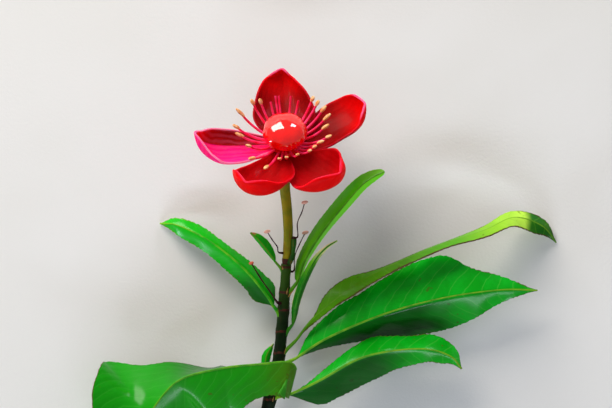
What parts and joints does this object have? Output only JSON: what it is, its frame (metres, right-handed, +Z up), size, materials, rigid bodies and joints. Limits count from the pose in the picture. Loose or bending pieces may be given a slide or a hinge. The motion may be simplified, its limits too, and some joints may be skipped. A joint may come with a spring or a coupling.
{
  "type": "cut flowering shoot of carnival ochna",
  "caption": "Cut leafy shoot of carnival ochna lying down: slim stem, glossy pointed leaves and one red flower with cupped sepals, a swollen dome and a ring of stamens.",
  "frame": {"origin": "on the surface the shoot lies on, under the middle of its bounding box", "axes": "+X to the picture's right, across the shoot; +Y along the shoot from the cut end to the flower; +Z up from the surface towards the camera"},
  "size_m": [0.0832, 0.0728, 0.0271],
  "materials": {
    "stem": "satin, dark green with brown flecks",
    "flower_stalk": "satin olive",
    "receptacle": "glossy, fleshy",
    "stamens": "satin red threads with tan ends",
    "sepal": "glossy",
    "leaf": "glossy upper face",
    "young_leaf": "glossy upper face",
    "spent_thread": "matte thread with a pale knob"
  },
  "bodies": {
    "root": {"stem": "stem", "flower_stalk": "flower_stalk", "receptacle": "receptacle", "stamens": "stamens", "sepal_right": "sepal", "sepal_top": "sepal", "sepal_left": "sepal", "sepal_lower_left": "sepal", "sepal_lower_right": "sepal", "leaf_right_broad": "leaf", "leaf_right_lower": "leaf", "leaf_right_long": "leaf", "leaf_front_left": "leaf", "leaf_left": "leaf", "leaf_upper_long": "young_leaf", "leaf_upper_thin": "young_leaf", "leaf_small_left": "young_leaf", "leaf_bud": "young_leaf", "spent_thread_left": "spent_thread", "spent_thread_right": "spent_thread", "spent_thread_low_right": "spent_thread", "spent_thread_low_left": "spent_thread"}
  },
  "joints": []
}
